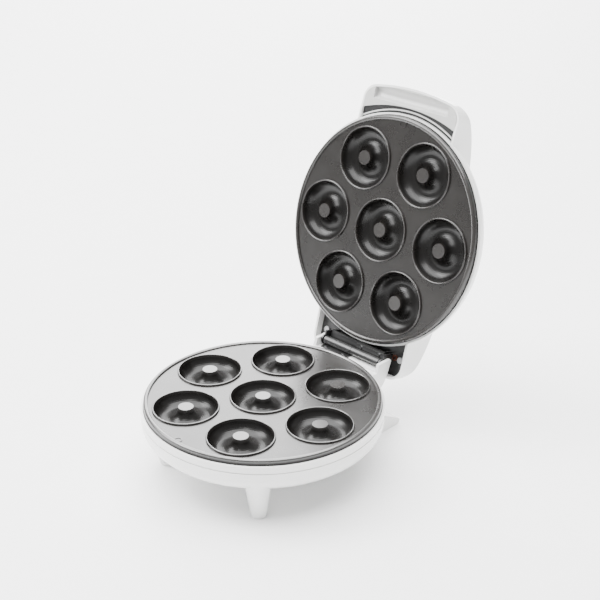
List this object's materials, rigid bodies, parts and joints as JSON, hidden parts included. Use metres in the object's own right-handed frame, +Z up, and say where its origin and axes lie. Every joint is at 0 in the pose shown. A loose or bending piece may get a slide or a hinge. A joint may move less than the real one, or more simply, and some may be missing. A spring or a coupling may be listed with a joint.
{
  "type": "donut maker",
  "caption": "Round tabletop donut maker with two ring-cavity baking plates, a hinged lid with front handle, and legs.",
  "frame": {"origin": "on the table, in the middle of the front foot of the rear stand, 70 mm behind the middle of the lower baking plate", "axes": "+Z up, -Y to the front where the handle comes down, +Y to the hinge, +X to the right seen from the front"},
  "size_m": [0.2058, 0.304, 0.2887],
  "materials": {
    "white_casing": "glossy moulded",
    "handle_white": "glossy moulded",
    "grey_trim": "satin",
    "pad_rubber": "matt",
    "nonstick": "glossy dark nonstick coating on cast aluminium",
    "heater_tube": "dull",
    "plain_steel": "zinc plated",
    "reflector": "bright",
    "hinge_screw": "dark plated",
    "hinge_black": "satin black",
    "hinge_pin": "blackened",
    "ceramic": "ceramic white",
    "wire_sleeve": "woven heat sleeve",
    "copper_ring": "dull",
    "grommet": "matt",
    "red_lens": "clear red",
    "green_lens": "clear green",
    "lamp_glass": "clear"
  },
  "bodies": {
    "base": {"lower_housing": "white_casing", "rear_stand": "white_casing", "stand_screws": "plain_steel", "foot_pads": "pad_rubber", "lower_plate": "nonstick", "lower_element": "heater_tube", "lower_clamps": "plain_steel", "lower_reflector": "reflector", "lower_plate_screws": "plain_steel", "thermostat": "ceramic", "thermal_fuse": "ceramic", "terminal_block": "ceramic", "base_wires": "wire_sleeve", "cord_inlet": "grommet", "hinge_lower_leaf": "hinge_black", "hinge_lower_screws": "hinge_screw", "hinge_pin": "hinge_pin"},
    "lid": {"lid_shell": "white_casing", "lid_frame": "plain_steel", "frame_screws": "plain_steel", "handle_underside": "handle_white", "handle_strip": "grey_trim", "upper_plate": "nonstick", "upper_element": "heater_tube", "upper_clamps": "plain_steel", "upper_reflector": "reflector", "upper_plate_screws": "plain_steel", "hinge_bracket": "hinge_black", "hinge_upper_leaf": "hinge_black", "hinge_upper_screws": "hinge_screw", "wire_eyelet": "copper_ring", "power_lens": "red_lens", "ready_lens": "green_lens", "lamps": "lamp_glass", "lamp_carrier": "ceramic", "lid_wires": "wire_sleeve"}
  },
  "joints": [
    {"name": "lid_hinge", "type": "hinge", "parent": "base", "child": "lid", "pos_m": [0, 0.0425, 0.0623], "axis": [1, 0, 0], "range_deg": [0, 106]}
  ]
}
